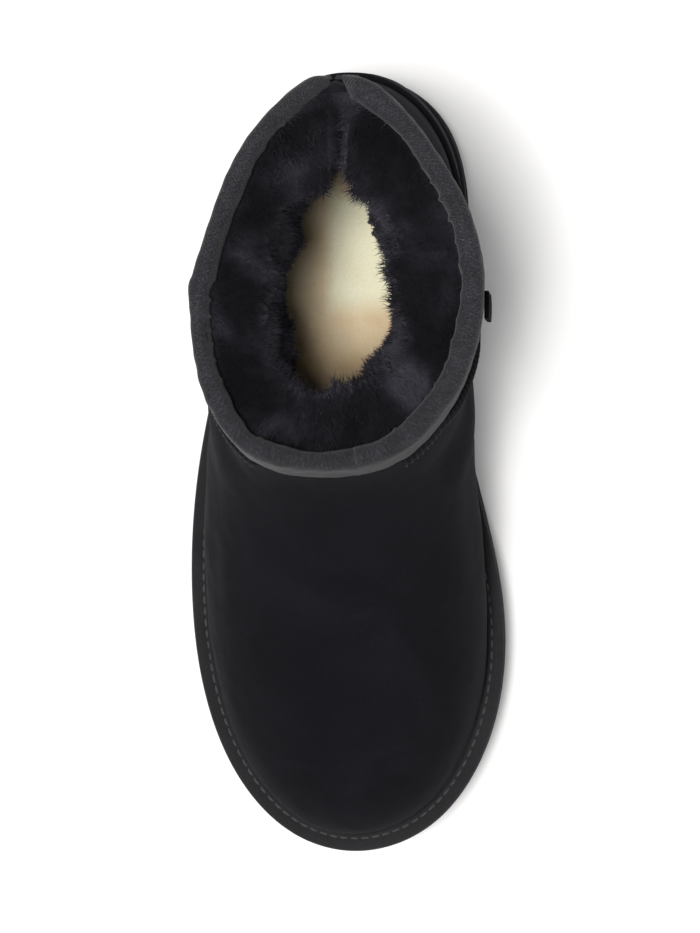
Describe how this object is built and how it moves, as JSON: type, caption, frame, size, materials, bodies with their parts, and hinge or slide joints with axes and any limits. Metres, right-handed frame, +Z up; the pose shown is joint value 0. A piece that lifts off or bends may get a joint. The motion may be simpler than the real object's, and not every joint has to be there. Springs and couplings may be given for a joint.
{
  "type": "sheepskin ankle boot",
  "caption": "Low suede ankle boot for the right foot, with a deep fleece lining, bound collar, footbed and moulded lugged sole; it stands on its sole.",
  "frame": {"origin": "on the floor, under the middle of the sole's bounding box", "axes": "+Z up, -Y towards the toe, +X towards the inner side of the right foot"},
  "size_m": [0.1109, 0.271, 0.1395],
  "materials": {
    "sole_rubber": "matt moulded foam rubber",
    "welt_suede": "napped suede strip with stitches",
    "upper_suede": "black suede with a short nap",
    "fleece": "deep curly wool pile",
    "insole_felt": "cream brushed footbed",
    "binding_tape": "heathered dark grey woven tape",
    "seam_thread": "raised seam, whip stitched",
    "tag_weave": "bare black woven tag"
  },
  "bodies": {
    "root": {"outsole": "sole_rubber", "welt": "welt_suede", "upper": "upper_suede", "fleece_lining": "fleece", "insole": "insole_felt", "collar_binding": "binding_tape", "heel_counter": "upper_suede", "heel_tab": "upper_suede", "medial_seam": "seam_thread", "lateral_seam": "seam_thread", "side_tag": "tag_weave"}
  },
  "joints": []
}
